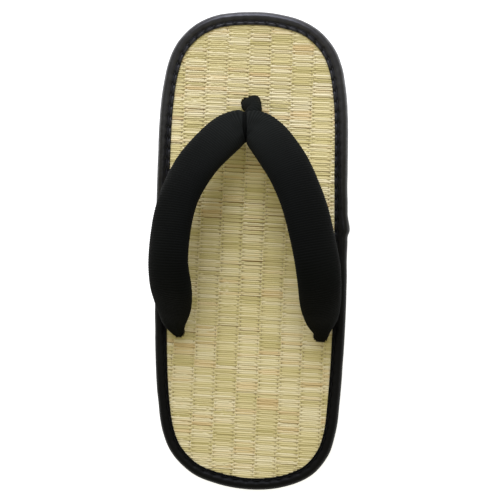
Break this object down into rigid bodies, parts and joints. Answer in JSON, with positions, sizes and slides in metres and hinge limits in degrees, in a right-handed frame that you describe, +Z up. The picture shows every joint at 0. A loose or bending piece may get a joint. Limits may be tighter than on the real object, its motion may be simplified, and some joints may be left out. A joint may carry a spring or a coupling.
{
  "type": "zori sandal",
  "caption": "Flat thong sandal with a woven straw footbed, rolled edge binding, foam rubber sole and a padded V-shaped strap held by a toe loop",
  "frame": {"origin": "centre of the sandal on the floor, below the outsole", "axes": "+X across to the big-toe side, +Y from heel to toe, +Z up"},
  "size_m": [0.1063, 0.2592, 0.0632],
  "materials": {
    "sole_rubber": "matt black foam rubber",
    "straw": "woven natural rush, pale straw yellow",
    "edge_tape": "satin black synthetic leather tape",
    "strap_fabric": "black ribbed fabric over padding",
    "loop_fabric": "black ribbed fabric"
  },
  "bodies": {
    "root": {"outsole": "sole_rubber", "insole": "straw", "binding": "edge_tape", "strap": "strap_fabric", "toe_loop": "loop_fabric"}
  },
  "joints": []
}
